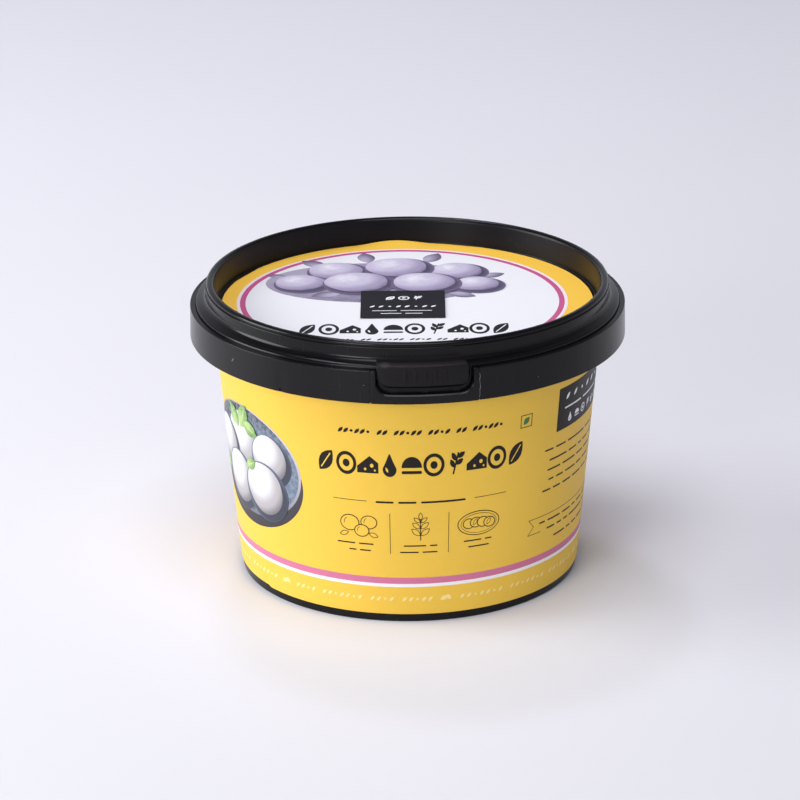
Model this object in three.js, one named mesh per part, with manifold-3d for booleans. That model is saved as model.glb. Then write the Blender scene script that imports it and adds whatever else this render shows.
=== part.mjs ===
// A shut round tub for soft cheese in brine: a tapered black tub with a deep outer collar,
// a push-on lid with a raised rim and a pull tab in the collar's window, and two printed labels.
// Millimetres, +Z up, the axis of the tub on Z, the tab and the label's front towards -Y.

import * as THREE from 'three';
import { mergeVertices } from 'three/addons/utils/BufferGeometryUtils.js';
import Module from 'manifold-3d';

const wasm = await Module();
wasm.setup();

// ---- driving dimensions ----

const aroundSegments = 96;
const touchGap = 0.05; // between pieces that rest on each other

const rimHeight = 81.75; // top of the lid's raised rim
const wallFootRadius = 46.44; // the label's outer face, carried down to the floor
const wallTaper = 0.089; // growth of the wall's radius for each millimetre of height
const labelThickness = 0.25;
const labelBottom = 2.4;
const labelTop = 69;
const footRounding = 0.4;

const collarRadius = 59; // at the collar's top edge
const collarFlare = 0.15; // how much wider the collar is at its lower edge
const collarTop = 75.55;
const collarBottom = 66.7;
const collarThickness = 1.1;
const collarLip = 0.55; // the collar's thickness above the lid's seat
const channelCeiling = 71.5; // the open channel between the collar and the wall
const tubTop = 73; // the face that the lid sits on

const lidEdgeRadius = 57.5;
const lidEdgeHeight = 76.3;
const flangeSlope = 20; // degrees that the flange falls towards the edge
const coveRounding = 2.4; // the sweep from the flange up into the rim's wall
const rimWallRadius = 54.85;
const rimStepHeight = 80.6; // of the fine step under the rim's bead
const rimOuterRadius = 54.55;
const rimInnerRadius = 52.4;
const recessRadius = 51.2; // foot of the recess, beside its floor
const recessFloor = 74.55;

const lidLabelRadius = 50.45;
const lidLabelThickness = 0.25;

const tabTurn = 4.3; // degrees from -Y towards +X
const tabWidth = 23.6;
const tabTop = 77.5;
const tabBottom = 71.5;
const tabFaceRadius = 58.95;
const tabThickness = 1;
const tabCorner = 2.2;
const skirtWidth = 24.8; // the thinner skirt behind the tab
const skirtBottom = 70;
const skirtInnerRadius = 57;
const windowWidth = 25.8; // the U-shaped window in the collar
const windowBottom = 69.2;
const windowDepthRadius = 56.7;
const windowCorner = 3.4;
const breakLineSpacing = 28.6; // the two lines where the collar tears
const breakLineWidth = 0.4;
const breakLineDepth = 0.45;
const bridgeSpacing = 8.4; // the small bridges under the tab
const bridgeWidth = 2;
const ribSpacing = 2.6; // the raised grip ribs on the tab's face
const ribWidth = 1;
const ribHeight = 3.4;
const ribCount = 5;

// ---- materials ----

const blackPlastic = new THREE.MeshStandardMaterial({ color: 0x17161a, roughness: 0.32, metalness: 0 });
const lidPlastic = new THREE.MeshStandardMaterial({ color: 0x141418, roughness: 0.36, metalness: 0 });
const yellowFilm = new THREE.MeshStandardMaterial({ color: 0xf2bf3c, roughness: 0.45, metalness: 0 });
const lidPaper = new THREE.MeshStandardMaterial({ color: 0xf1eff6, roughness: 0.5, metalness: 0 });

// ---- helpers ----

// A solid of revolution about Z from [radius, height] pairs.
function turned(pairs) {
  const profile = pairs.map(([radius, height]) => new THREE.Vector2(radius, height));
  return new THREE.LatheGeometry(profile, aroundSegments).rotateX(Math.PI / 2);
}

// A ring about Z with a closed section.
function turnedRing(pairs) {
  return turned([...pairs, pairs[0]]);
}

// [radius, height] pairs along an arc, angles in degrees from the outward direction.
function arcPairs(centreRadius, centreHeight, size, fromAngle, toAngle, steps) {
  return Array.from({ length: steps + 1 }, (_, i) => {
    const angle = THREE.MathUtils.degToRad(fromAngle + ((toAngle - fromAngle) * i) / steps);
    return [centreRadius + size * Math.cos(angle), centreHeight + size * Math.sin(angle)];
  });
}

// A prism that points at -Y, upright, with its two lower corners rounded, turned to the tab.
function frontPrism(width, bottom, top, corner = 0, sideways = 0) {
  const half = width / 2;
  const outline = new THREE.Shape();
  outline.moveTo(half, top);
  outline.lineTo(-half, top);
  outline.lineTo(-half, bottom + corner);
  if (corner > 0) outline.absarc(-half + corner, bottom + corner, corner, Math.PI, 1.5 * Math.PI);
  outline.lineTo(half - corner, bottom);
  if (corner > 0) outline.absarc(half - corner, bottom + corner, corner, 1.5 * Math.PI, 2 * Math.PI);
  const reach = 62;
  const prism = new THREE.ExtrudeGeometry(outline, { depth: reach, bevelEnabled: false, curveSegments: 5 });
  return prism.rotateX(Math.PI / 2).translate(sideways, 0, 0).rotateZ(THREE.MathUtils.degToRad(tabTurn));
}

function toManifold(geometry) {
  const bare = geometry.clone();
  bare.deleteAttribute('normal');
  bare.deleteAttribute('uv');
  const merged = mergeVertices(bare, 1e-4);
  return new wasm.Manifold(
    new wasm.Mesh({
      numProp: 3,
      vertProperties: new Float32Array(merged.attributes.position.array),
      triVerts: new Uint32Array(merged.index.array),
    }),
  );
}

function fromManifold(solid) {
  const mesh = solid.getMesh();
  const geometry = new THREE.BufferGeometry();
  geometry.setAttribute('position', new THREE.BufferAttribute(new Float32Array(mesh.vertProperties), 3));
  geometry.setIndex(new THREE.BufferAttribute(new Uint32Array(mesh.triVerts), 1));
  geometry.computeVertexNormals();
  return geometry;
}

// The part of a ring that lies inside a prism: a curved plate at the front.
function curvedPlate(ringPairs, prism) {
  return toManifold(turnedRing(ringPairs)).intersect(toManifold(prism));
}

// A ring section that is a plain rectangle.
function bandPairs(innerRadius, outerRadius, bottom, top) {
  return [
    [innerRadius, bottom],
    [outerRadius, bottom],
    [outerRadius, top],
    [innerRadius, top],
  ];
}

const labelRadiusAt = (height) => wallFootRadius + wallTaper * height;
const wallRadiusAt = (height) => labelRadiusAt(height) - labelThickness - touchGap;

// ---- the pieces ----

function makeTub() {
  const lowerRadius = collarRadius + collarFlare;
  const lipRounding = 0.2;
  const body = turned([
    [0, 0],
    ...arcPairs(wallRadiusAt(0) - footRounding, footRounding, footRounding, -90, 0, 3),
    [wallRadiusAt(channelCeiling), channelCeiling],
    [lowerRadius - collarThickness, channelCeiling],
    [lowerRadius - collarThickness, collarBottom],
    [lowerRadius, collarBottom],
    [collarRadius, collarTop - lipRounding],
    [collarRadius - lipRounding, collarTop],
    [collarRadius - collarLip, collarTop],
    [collarRadius - collarLip, tubTop],
    [0, tubTop],
  ]);

  const window = curvedPlate(
    bandPairs(windowDepthRadius, collarRadius + 1, windowBottom, collarTop + 1),
    frontPrism(windowWidth, windowBottom, collarTop + 1, windowCorner),
  );
  let tub = toManifold(body).subtract(window);

  for (const side of [-1, 1]) {
    const groove = curvedPlate(
      bandPairs(collarRadius - breakLineDepth, collarRadius + 1, collarBottom - 1, collarTop + 1),
      frontPrism(breakLineWidth, collarBottom - 1, collarTop + 1, 0, (side * breakLineSpacing) / 2),
    );
    tub = tub.subtract(groove);
  }

  for (const place of [-1, 0, 1]) {
    const bridge = curvedPlate(
      bandPairs(lowerRadius - collarThickness + 0.2, lowerRadius - 0.2, windowBottom - 0.5, skirtBottom - 0.1),
      frontPrism(bridgeWidth, windowBottom - 0.5, skirtBottom - 0.1, 0, place * bridgeSpacing),
    );
    tub = tub.add(bridge);
  }
  return fromManifold(tub);
}

function makeLid() {
  const underside = tubTop + touchGap;
  const edgeRounding = 0.5;
  const beadRounding = 0.9;
  const recessRounding = 0.6;
  const edgePairs = arcPairs(
    lidEdgeRadius - edgeRounding,
    lidEdgeHeight - edgeRounding,
    edgeRounding,
    0,
    90 - flangeSlope,
    3,
  );
  const [flangeRadius, flangeHeight] = edgePairs.at(-1);
  const slope = THREE.MathUtils.degToRad(flangeSlope);
  const coveRadius = rimWallRadius + coveRounding;
  const coveFootRadius = coveRadius - coveRounding * Math.sin(slope);
  const coveFootHeight = flangeHeight + (flangeRadius - coveFootRadius) * Math.tan(slope);
  const coveHeight = coveFootHeight + coveRounding * Math.cos(slope);
  const body = turned([
    [0, underside],
    [lidEdgeRadius, underside],
    ...edgePairs,
    ...arcPairs(coveRadius, coveHeight, coveRounding, 270 - flangeSlope, 180, 5),
    [rimWallRadius, rimStepHeight],
    [rimOuterRadius - 0.1, rimStepHeight],
    ...arcPairs(rimOuterRadius - beadRounding, rimHeight - beadRounding, beadRounding, 0, 90, 3),
    ...arcPairs(rimInnerRadius + beadRounding, rimHeight - beadRounding, beadRounding, 90, 180, 3),
    [recessRadius, recessFloor + recessRounding],
    [recessRadius - recessRounding, recessFloor],
    [0, recessFloor],
  ]);

  const plate = curvedPlate(
    [
      [rimWallRadius - 0.4, tabTop - 1.4],
      [tabFaceRadius - tabThickness, tabTop - 1.4],
      [tabFaceRadius - tabThickness, tabBottom],
      [tabFaceRadius, tabBottom],
      [tabFaceRadius, tabTop - 0.5],
      [tabFaceRadius - 0.4, tabTop - 0.1],
      [rimWallRadius - 0.4, tabTop],
    ],
    frontPrism(tabWidth, tabBottom, tabTop + 1, tabCorner),
  );
  const skirt = curvedPlate(
    bandPairs(skirtInnerRadius, tabFaceRadius - tabThickness + 0.1, skirtBottom, lidEdgeHeight - 0.2),
    frontPrism(skirtWidth, skirtBottom, lidEdgeHeight - 0.2, tabCorner + 0.8),
  );
  let lid = toManifold(body).add(plate).add(skirt);

  for (let i = 0; i < ribCount; i += 1) {
    const place = (i - (ribCount - 1) / 2) * ribSpacing;
    const middle = (tabTop + tabBottom) / 2 - 0.2;
    const rib = curvedPlate(
      bandPairs(tabFaceRadius - 0.5, collarRadius, middle - ribHeight / 2, middle + ribHeight / 2),
      frontPrism(ribWidth, middle - ribHeight / 2, middle + ribHeight / 2, 0, place),
    );
    lid = lid.add(rib);
  }
  return fromManifold(lid);
}

function makeWrapLabel() {
  const innerAt = (height) => labelRadiusAt(height) - labelThickness;
  return turnedRing([
    [innerAt(labelBottom), labelBottom],
    [labelRadiusAt(labelBottom), labelBottom],
    [labelRadiusAt(labelTop), labelTop],
    [innerAt(labelTop), labelTop],
  ]);
}

function makeLidLabel() {
  const underside = recessFloor + touchGap;
  return turned([
    [0, underside],
    [lidLabelRadius, underside],
    [lidLabelRadius, underside + lidLabelThickness],
    [0, underside + lidLabelThickness],
  ]);
}

// ---- assembly ----

function named(name, geometry, material) {
  const mesh = new THREE.Mesh(geometry, material);
  mesh.name = name;
  return mesh;
}

const cheeseTub = new THREE.Group();
cheeseTub.add(
  named('tub', makeTub(), blackPlastic),
  named('lid', makeLid(), lidPlastic),
  named('wrap_label', makeWrapLabel(), yellowFilm),
  named('lid_label', makeLidLabel(), lidPaper),
);

export default cheeseTub;
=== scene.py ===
import math

import bmesh
import bpy
from mathutils import Matrix, Vector


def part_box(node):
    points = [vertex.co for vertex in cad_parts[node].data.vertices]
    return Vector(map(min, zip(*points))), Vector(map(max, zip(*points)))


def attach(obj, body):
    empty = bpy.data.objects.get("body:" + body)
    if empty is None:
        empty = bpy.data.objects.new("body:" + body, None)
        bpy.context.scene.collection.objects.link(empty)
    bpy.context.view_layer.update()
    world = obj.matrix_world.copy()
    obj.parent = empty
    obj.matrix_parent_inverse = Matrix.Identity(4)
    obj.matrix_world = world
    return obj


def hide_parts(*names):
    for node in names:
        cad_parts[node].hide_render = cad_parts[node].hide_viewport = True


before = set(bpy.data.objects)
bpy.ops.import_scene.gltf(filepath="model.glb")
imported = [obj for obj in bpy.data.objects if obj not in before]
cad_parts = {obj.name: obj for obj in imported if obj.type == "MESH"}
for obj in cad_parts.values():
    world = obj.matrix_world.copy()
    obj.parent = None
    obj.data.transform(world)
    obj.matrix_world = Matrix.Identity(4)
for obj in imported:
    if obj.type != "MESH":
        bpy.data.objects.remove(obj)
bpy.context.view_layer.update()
print("frame loaded:", ", ".join(sorted(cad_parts)))

# All lengths in this file are millimetres until a piece is written, heights are above the table,
# and directions round the tub are degrees from the front (-Y) towards +X.

scene = bpy.context.scene
metresPerMillimetre = 0.001
fullTurn = 2 * math.pi


def boxInMillimetres(node):
    low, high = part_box(node)
    return low / metresPerMillimetre, high / metresPerMillimetre


tubHigh = boxInMillimetres("tub")[1]
lidHigh = boxInMillimetres("lid")[1]
wrapLow, wrapHigh = boxInMillimetres("wrap_label")
discLow, discHigh = boxInMillimetres("lid_label")


def addObject(name, data):
    made = bpy.data.objects.new(name, data)
    scene.collection.objects.link(made)
    return made


# Camera and light

camera = {
    "distance": 977.36,  # from the tub's axis, along the table
    "height": 409.32,
    "pitch": 20.39,
    "yaw": -0.133,
    "roll": -0.516,
    "lens": 170.99,
    "sensor": 36,
    "sight": 50,  # how far it sees, in metres
}


def makeCamera():
    data = bpy.data.cameras.new("camera")
    data.lens = camera["lens"]
    data.sensor_width = camera["sensor"]
    data.clip_end = camera["sight"]
    place = Vector((0, -camera["distance"], camera["height"])) * metresPerMillimetre
    aim = Matrix.Rotation(math.radians(-camera["yaw"]), 4, "Z")
    aim @= Matrix.Rotation(math.radians(90 - camera["pitch"]), 4, "X")
    aim @= Matrix.Rotation(math.radians(camera["roll"]), 4, "Z")
    scene.camera = addObject("camera", data)
    scene.camera.matrix_world = Matrix.Translation(place) @ aim


lampReach = 1250  # from the tub's foot to every lamp
lights = {
    "key": {"from": -90, "rise": 20, "size": 800, "power": 12.0, "colour": (0.95, 0.98, 0.995)},
    "fill": {"from": -30, "rise": 20, "size": 480, "power": 4.7, "colour": (0.99, 0.975, 0.96)},
    "overhead": {"from": -10, "rise": 72, "size": 900, "power": 8.8, "colour": (0.98, 0.97, 1.0)},
    "glint": {"from": -163.5, "rise": 60.5, "size": 190, "power": 2.0, "colour": (0.80, 0.76, 1.0)},
}
# A pale room whose ceiling is darker than its walls
surroundings = {"colour": (0.88, 0.90, 0.985), "strength": (0.64, 0.15), "heights": (0.25, 0.6)}


def makeLights():
    for name, light in lights.items():
        data = bpy.data.lights.new(name, "AREA")
        data.shape = "DISK"
        data.size = light["size"] * metresPerMillimetre
        data.energy = light["power"]
        data.color = light["colour"]
        turn, rise = math.radians(light["from"]), math.radians(light["rise"])
        level = math.cos(rise)
        outwards = Vector((math.sin(turn) * level, -math.cos(turn) * level, math.sin(rise)))
        aim = outwards.to_track_quat("Z", "Y").to_matrix().to_4x4()
        place = outwards * lampReach * metresPerMillimetre
        addObject(name, data).matrix_world = Matrix.Translation(place) @ aim

    world = bpy.data.worlds.new("paleRoom")
    world.use_nodes = True
    tree = world.node_tree
    direction = addNode(tree, "ShaderNodeTexCoord").outputs["Generated"]
    height = addNode(tree, "ShaderNodeSeparateXYZ", {"Vector": direction}).outputs["Z"]
    background = tree.nodes["Background"]
    plug(tree, background.inputs["Color"], (*surroundings["colour"], 1))
    strength = spread(tree, height, surroundings["heights"], surroundings["strength"])
    plug(tree, background.inputs["Strength"], strength)
    scene.world = world
    scene.view_settings.view_transform = "Standard"


# Mesh helpers

bendStrip = 0.9  # width of the strips in which plastic plates are bent
cornerSteps = 5  # faces in each rounded corner of a turned section
plateSteps = 6  # and in each rounded corner of a flat plate


def roundOff(bm, geom, width, segments, affect="EDGES", clamp=False):
    bmesh.ops.bevel(bm, geom=geom, offset=width, affect=affect, segments=segments, profile=0.5,
                    material=-1, clamp_overlap=clamp)


def turned(bm, verts, degrees):
    bmesh.ops.rotate(bm, verts=verts, matrix=Matrix.Rotation(math.radians(degrees), 3, "Z"))
    return verts


def profileWire(bm, corners, closed):
    # A section in the XZ plane; each corner is radius, height and how much it is rounded.
    # Holding points beside each rounding keep the flats between them flat in the shading.
    hold, room = 0.2, 0.6  # how far beyond the rounding they lie, and the flat they need
    count = len(corners)
    points = []
    for index, (radius, height, rounding) in enumerate(corners):
        here = Vector((radius, 0, height))
        around = [(here, rounding)]
        for step in (-1, 1):
            if not rounding or not (closed or 0 <= index + step < count):
                continue
            nextRadius, nextHeight, nextRounding = corners[(index + step) % count]
            towards = Vector((nextRadius, 0, nextHeight)) - here
            if towards.length > rounding + nextRounding + room:
                point = (here + towards.normalized() * (rounding + hold), 0)
                around.insert(0 if step < 0 else len(around), point)
        points += around
    verts = [bm.verts.new(place) for place, rounding in points]
    wire = verts + verts[:1] if closed else verts
    for ends in zip(wire, wire[1:]):
        bm.edges.new(ends)
    for vert, (place, rounding) in zip(verts, points):
        if rounding:
            roundOff(bm, [vert], rounding, cornerSteps, "VERTICES")


def spun(corners, steps, closed=False, start=0.0, sweep=360.0):
    # The section turned about Z, from one direction round the tub through a sweep.
    bm = bmesh.new()
    profileWire(bm, corners, closed)
    turned(bm, bm.verts, start - 90)
    bmesh.ops.spin(bm, geom=bm.verts[:] + bm.edges[:], cent=(0, 0, 0), axis=(0, 0, 1),
                   angle=math.radians(sweep), steps=steps, use_merge=sweep == 360)
    bmesh.ops.remove_doubles(bm, verts=bm.verts, dist=1e-4)
    openEdges = [edge for edge in bm.edges if edge.is_boundary]
    if openEdges:
        bmesh.ops.holes_fill(bm, edges=openEdges, sides=0)
    bmesh.ops.recalc_face_normals(bm, faces=bm.faces)
    return bm


def cutThrough(bm, place, direction):
    bmesh.ops.bisect_plane(bm, geom=bm.verts[:] + bm.edges[:] + bm.faces[:], dist=1e-5,
                           plane_co=place, plane_no=direction)


def sliceAcross(bm, step):
    # Cuts flat work into narrow upright strips, so that it bends smoothly.
    across = [vert.co.x for vert in bm.verts]
    for cut in range(math.ceil(min(across) / step), math.floor(max(across) / step) + 1):
        cutThrough(bm, (cut * step, 0, 0), (1, 0, 0))


def bend(bm, radiusAt, wrapRadius, turn=0.0):
    # Wraps flat work round the tub: x goes round, y is the height, z stands out from the wall.
    for vert in bm.verts:
        across, height, out = vert.co
        angle = across / wrapRadius + math.radians(turn)
        radius = radiusAt(height) + out
        vert.co = (radius * math.sin(angle), -radius * math.cos(angle), height)


def bevelSharp(bm, width, segments=3):
    sharper = math.radians(50)
    sharp = [edge for edge in bm.edges if edge.is_manifold and edge.calc_face_angle() > sharper]
    roundOff(bm, sharp, width, segments, clamp=True)


def addBlock(bm, size, place):
    verts = bmesh.ops.create_cube(bm, size=1)["verts"]
    bmesh.ops.scale(bm, verts=verts, vec=size)
    bmesh.ops.translate(bm, verts=verts, vec=place)
    return verts


def thicken(bm, depth):
    made = bmesh.ops.extrude_face_region(bm, geom=bm.faces[:])["geom"]
    under = [item for item in made if isinstance(item, bmesh.types.BMVert)]
    bmesh.ops.translate(bm, verts=under, vec=(0, 0, -depth))
    bmesh.ops.recalc_face_normals(bm, faces=bm.faces)


def uShape(half, opening, low, sill, top):
    return [(-half, low), (half, low), (half, top), (opening, top), (opening, sill), (-opening, sill),
            (-opening, top), (-half, top)]


def plate(bm, outline, face, thickness, rounded, corner):
    # A flat plate from an outline of (x, y), some of its corners rounded, its face at that z.
    verts = [bm.verts.new((x, y, face)) for x, y in outline]
    bm.faces.new(verts)
    for index in rounded:
        roundOff(bm, [verts[index]], corner, plateSteps, "VERTICES")
    thicken(bm, thickness)
    if bm.calc_volume(signed=True) < 0:
        bmesh.ops.reverse_faces(bm, faces=bm.faces)


def foldBack(bm, height, radius, sweep, steps=6):
    # Above a height, turns a flat plate back over a rounded fold.
    turn = math.radians(sweep)
    for cut in range(steps + 1):
        cutThrough(bm, (0, height + radius * turn * cut / steps, 0), (0, 1, 0))
    for vert in bm.verts:
        over = vert.co.y - height
        if over > 0:
            angle = min(over / radius, turn)
            rest = over - radius * angle
            reach = radius + vert.co.z
            vert.co.y = height + reach * math.sin(angle) + rest * math.cos(angle)
            vert.co.z = reach * math.cos(angle) - radius - rest * math.sin(angle)


def addTo(bm, other):
    # Joins one bmesh's faces to another's.
    mesh = bpy.data.meshes.new("joined")
    other.to_mesh(mesh)
    other.free()
    bm.from_mesh(mesh)
    bpy.data.meshes.remove(mesh)


def meshFrom(bm, name):
    bmesh.ops.scale(bm, verts=bm.verts, vec=[metresPerMillimetre] * 3)
    mesh = bpy.data.meshes.new(name)
    bm.to_mesh(mesh)
    bm.free()
    return mesh


def writePiece(bm, name, materials, nodes=()):
    crease = math.radians(32)  # sharper edges stay sharp in the shading
    mesh = meshFrom(bm, name)
    mesh.shade_smooth()
    mesh.set_sharp_from_angle(angle=crease)
    for material in materials:
        mesh.materials.append(material)
    piece = addObject(name, mesh)
    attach(piece, "root")
    if nodes:
        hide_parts(*nodes)


# Materials

patchy = (0.3, 0.7)  # between these lies nearly all of a soft noise
speckled = (0.35, 0.65)  # and of a fine one
paper = (1, 1, 1)


def newMaterial(name, specular=0.5):
    material = bpy.data.materials.new(name)
    material.use_nodes = True
    shader = material.node_tree.nodes["Principled BSDF"]
    shader.inputs["Specular IOR Level"].default_value = specular
    return material, material.node_tree, shader


def plug(tree, socket, value):
    if isinstance(value, bpy.types.NodeSocket):
        tree.links.new(value, socket)
    else:
        socket.default_value = value


def addNode(tree, kind, inputs=None, **settings):
    node = tree.nodes.new(kind)
    for setting, value in settings.items():
        setattr(node, setting, value)
    for name, value in (inputs or {}).items():
        plug(tree, node.inputs[name], value)
    return node


def objectCoordinates(tree, scale=(1, 1, 1)):
    place = addNode(tree, "ShaderNodeTexCoord").outputs["Object"]
    return addNode(tree, "ShaderNodeMapping", {"Vector": place, "Scale": scale}).outputs[0]


def perMetre(size):
    return 1 / (size * metresPerMillimetre)


def noise(tree, vector, size, detail=3.0, roughness=0.5):
    # size is that of one patch
    inputs = {"Vector": vector, "Scale": perMetre(size), "Detail": detail, "Roughness": roughness}
    return addNode(tree, "ShaderNodeTexNoise", inputs).outputs["Fac"]


def spread(tree, value, taken, given=(0, 1)):
    # Carries the range that is taken over to the one that is given.
    inputs = dict(zip(("Value", "From Min", "From Max", "To Min", "To Max"), (value, *taken, *given)))
    return addNode(tree, "ShaderNodeMapRange", inputs).outputs["Result"]


def lengthOf(tree, vector):
    return addNode(tree, "ShaderNodeVectorMath", {0: vector}, operation="LENGTH").outputs["Value"]


def blend(tree, factor, first, second, mode="MIX"):
    inputs = {0: factor}
    for index, value in ((6, first), (7, second)):
        inputs[index] = (*value, 1) if isinstance(value, (tuple, list)) else value
    return addNode(tree, "ShaderNodeMix", inputs, data_type="RGBA", blend_type=mode).outputs[2]


def bumps(tree, *layers):
    # Stacks height maps: each layer is (height, depth in millimetres, strength).
    normal = None
    for height, depth, strength in layers:
        inputs = {"Height": height, "Distance": depth * metresPerMillimetre, "Strength": strength}
        if normal:
            inputs["Normal"] = normal
        normal = addNode(tree, "ShaderNodeBump", inputs).outputs["Normal"]
    return normal


def finishWith(tree, shader, colour, roughness, normal):
    plug(tree, shader.inputs["Base Color"], colour)
    plug(tree, shader.inputs["Roughness"], roughness)
    plug(tree, shader.inputs["Normal"], normal)


moulding = {  # what the plastics share: sizes and depths, and the ranges that cut marks out of noise
    "grain": (0.35, 0.02),
    "ripple": (9, 0.12),
    "scratchStretch": (1, 1, 0.06),
    "scratchSize": 0.8,
    "scratchEdge": (0.68, 0.74),
    "scratchDepth": (0.01, 0.15),
    "scratchColour": (0.10, 0.10, 0.11),
    "speckEdge": (0.01, 0.015),
    "speckColour": (0.30, 0.29, 0.30),
    "scuffRagged": 0.9,
    "scuffCore": 0.35,
    "scuffEdge": (0.18, 0.4),
}


def mouldedPlastic(name, values):
    # Dyed plastic: cloudy gloss, a fine grain, hairline scratches and a few pale specks.
    values = {**plainPlastic, **values}
    material, tree, shader = newMaterial(name, values["specular"])
    place = objectCoordinates(tree)
    cloud = noise(tree, place, values["cloudSize"], 4)
    body = blend(tree, cloud, values["colour"], values["cloudColour"])
    stretched = objectCoordinates(tree, moulding["scratchStretch"])
    scratches = noise(tree, stretched, moulding["scratchSize"], 2, 0.7)
    scratches = spread(tree, scratches, moulding["scratchEdge"])
    rubbing = spread(tree, scratches, (0, 1), (0, values["scratches"]))
    rubbed = blend(tree, rubbing, body, moulding["scratchColour"])
    cells = {"Vector": place, "Scale": perMetre(values["speckSpacing"])}
    distance = addNode(tree, "ShaderNodeTexVoronoi", cells).outputs["Distance"]
    speck = spread(tree, distance, moulding["speckEdge"], (1, 0))
    colour = blend(tree, speck, rubbed, moulding["speckColour"])
    if "scuff" in values:
        colour = scuffed(tree, place, colour, values["scuff"])
    grain, grainDepth = moulding["grain"]
    ripple, rippleDepth = moulding["ripple"]
    normal = bumps(tree, (noise(tree, place, ripple, 2), rippleDepth, values["ripple"]),
                   (noise(tree, place, grain, 2), grainDepth, values["grain"]),
                   (scratches, *moulding["scratchDepth"]))
    finishWith(tree, shader, colour, spread(tree, cloud, patchy, values["gloss"]), normal)
    return material


def scuffed(tree, place, colour, scuff):
    # A worn patch, ragged at its edge
    centre = [-metresPerMillimetre * axis for axis in scuff["centre"]]
    offset = addNode(tree, "ShaderNodeMapping", {"Vector": place, "Location": centre}).outputs[0]
    size = scuff["size"] * metresPerMillimetre
    near = spread(tree, lengthOf(tree, offset), (moulding["scuffCore"] * size, size), (1, 0))
    ragged = noise(tree, place, moulding["scuffRagged"], 4, 0.7)
    ragged = addNode(tree, "ShaderNodeMath", {0: near, 1: ragged}, operation="MULTIPLY").outputs[0]
    worn = spread(tree, ragged, moulding["scuffEdge"], (0, scuff["share"]))
    return blend(tree, worn, colour, scuff["colour"])


printing = {  # sizes of patches; the tooth also has its depth and strength
    "drift": 22,
    "screen": 0.22,
    "ripple": (14, 0.15),
    "tooth": (0.16, 0.006, 0.25),
    "pictureReach": (0, 1.8),
    "pictureDrift": 18,
    "pictureScreen": (0.25, 0.12),
    "pictureGloss": (0.42, 0.5),
    "mottleEdge": (0.42, 0.6),
}


def toothOf(tree, place):
    size, depth, strength = printing["tooth"]
    return noise(tree, place, size, 1), depth, strength


def printedFilm(name, colour, values):
    # Satin printed film: slight drift of the ink, a fine screen grain and soft ripples.
    material, tree, shader = newMaterial(name, values["specular"])
    place = objectCoordinates(tree)
    drift = noise(tree, place, printing["drift"], 3)
    screen = spread(tree, noise(tree, place, printing["screen"], 1), speckled, (0, values["screen"]))
    ink = blend(tree, drift, colour, [channel * values["drift"] for channel in colour])
    ripple, rippleDepth = printing["ripple"]
    ripples = (noise(tree, place, ripple, 2), rippleDepth, values["ripple"])
    normal = bumps(tree, ripples, toothOf(tree, place))
    finishWith(tree, shader, blend(tree, screen, ink, paper, "SOFT_LIGHT"),
               spread(tree, drift, patchy, values["gloss"]), normal)
    return material


def pictureInk(name, light, stops, mottle=None):
    # Shaded by each shape's own map: the first stop lies at the light, the last furthest from it.
    material, tree, shader = newMaterial(name)
    chart = addNode(tree, "ShaderNodeUVMap", uv_map="shapeMap").outputs["UV"]
    towards = addNode(tree, "ShaderNodeMapping", {"Vector": chart, "Location": (-light[0], -light[1], 0)})
    reach = lengthOf(tree, towards.outputs[0])
    ramp = addNode(tree, "ShaderNodeValToRGB", {"Fac": spread(tree, reach, printing["pictureReach"])})
    ramp.color_ramp.interpolation = "EASE"
    for index, (position, colour) in enumerate(stops):
        elements = ramp.color_ramp.elements
        element = elements[index] if index < 2 else elements.new(position)
        element.position = position
        element.color = (*colour, 1)
    ink = ramp.outputs["Color"]
    place = objectCoordinates(tree)
    if mottle:
        patches = noise(tree, place, mottle["size"], 4, 0.65)
        patches = spread(tree, patches, printing["mottleEdge"], (0, mottle["share"]))
        ink = blend(tree, patches, ink, mottle["colour"])
    size, share = printing["pictureScreen"]
    screen = spread(tree, noise(tree, place, size, 1), speckled, (0, share))
    drift = noise(tree, place, printing["pictureDrift"], 2)
    finishWith(tree, shader, blend(tree, screen, ink, paper, "SOFT_LIGHT"),
               spread(tree, drift, patchy, printing["pictureGloss"]), bumps(tree, toothOf(tree, place)))
    return material


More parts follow.
